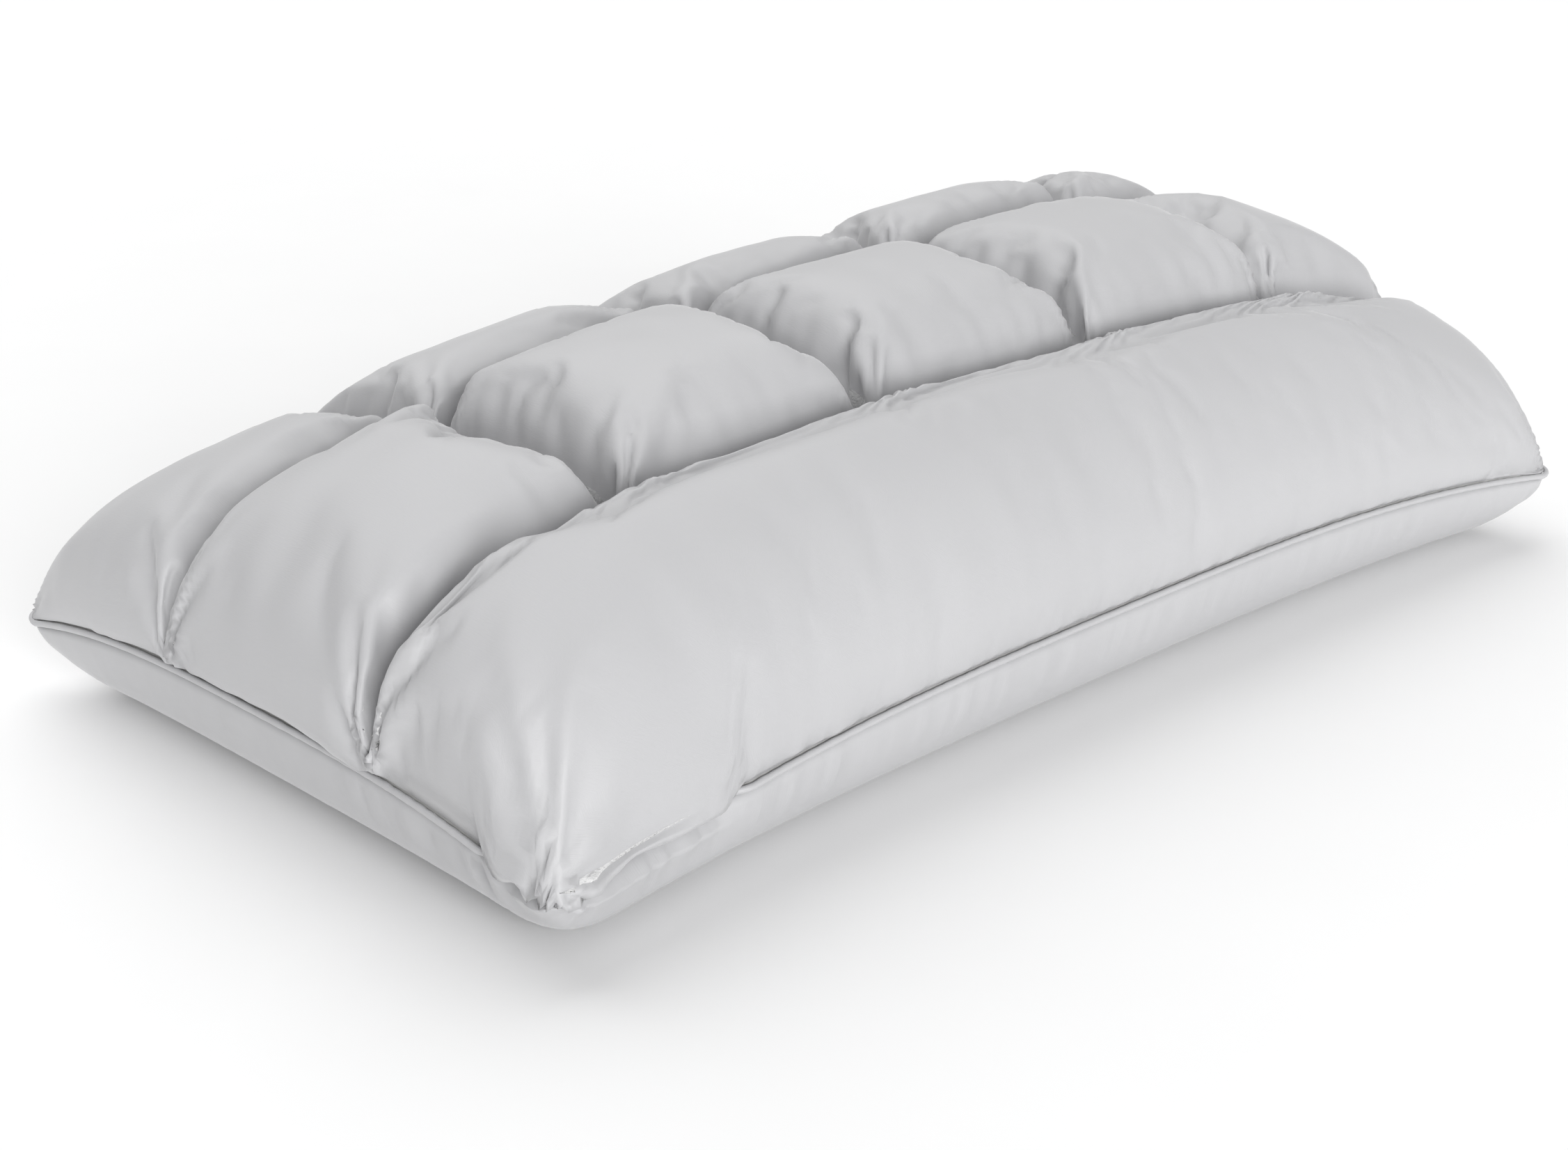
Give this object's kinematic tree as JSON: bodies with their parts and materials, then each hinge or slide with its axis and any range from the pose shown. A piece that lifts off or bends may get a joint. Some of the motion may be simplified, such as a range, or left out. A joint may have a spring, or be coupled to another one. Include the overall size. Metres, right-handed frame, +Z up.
{
  "type": "bed pillow",
  "caption": "Low domed bed pillow with a quilted top, a long roll along the front and square chambers behind it, piped edges and a zip in the back wall.",
  "frame": {"origin": "middle of the flat underside, on the surface the pillow lies on", "axes": "+X along the pillow's length, +Y across it from the front roll to the zipped back, +Z up"},
  "size_m": [0.7078, 0.3955, 0.1836],
  "materials": {
    "cotton_cloth": "smooth, slightly lustrous white cotton sateen",
    "lining_cloth": "plain thin white lining cloth",
    "fibre": "white polyester fibre filling",
    "foam": "matte open-cell cream foam",
    "cord": "twisted cotton cord",
    "zip_tape": "woven white tape",
    "zip_nylon": "white nylon",
    "zip_enamel": "white enamelled metal"
  },
  "bodies": {
    "pillow": {"top_panel": "cotton_cloth", "chamber_lining": "lining_cloth", "fill_front_roll": "fibre", "fill_middle_1": "fibre", "fill_middle_2": "fibre", "fill_middle_3": "fibre", "fill_middle_4": "fibre", "fill_middle_5": "fibre", "fill_back_1": "fibre", "fill_back_2": "fibre", "fill_back_3": "fibre", "fill_back_4": "fibre", "fill_back_5": "fibre", "bottom_panel": "cotton_cloth", "foam_core": "foam", "piping_cover": "cotton_cloth", "piping_cord": "cord", "zip_tape_upper": "zip_tape", "zip_tape_lower": "zip_tape", "zip_coil_upper": "zip_nylon", "zip_coil_lower": "zip_nylon", "zip_stop_closed": "zip_nylon", "zip_stop_open": "zip_nylon"},
    "slider": {"zip_slider": "zip_enamel"},
    "puller": {"zip_puller": "zip_enamel"}
  },
  "joints": [
    {"name": "zip_open", "type": "slide", "parent": "pillow", "child": "slider", "axis": [-1, 0, 0], "range_m": [0, 0.44]},
    {"name": "puller_swing", "type": "hinge", "parent": "slider", "child": "puller", "pos_m": [0.219, 0.18094, 0.043], "axis": [0, 0, -1], "range_deg": [0, 170]}
  ]
}
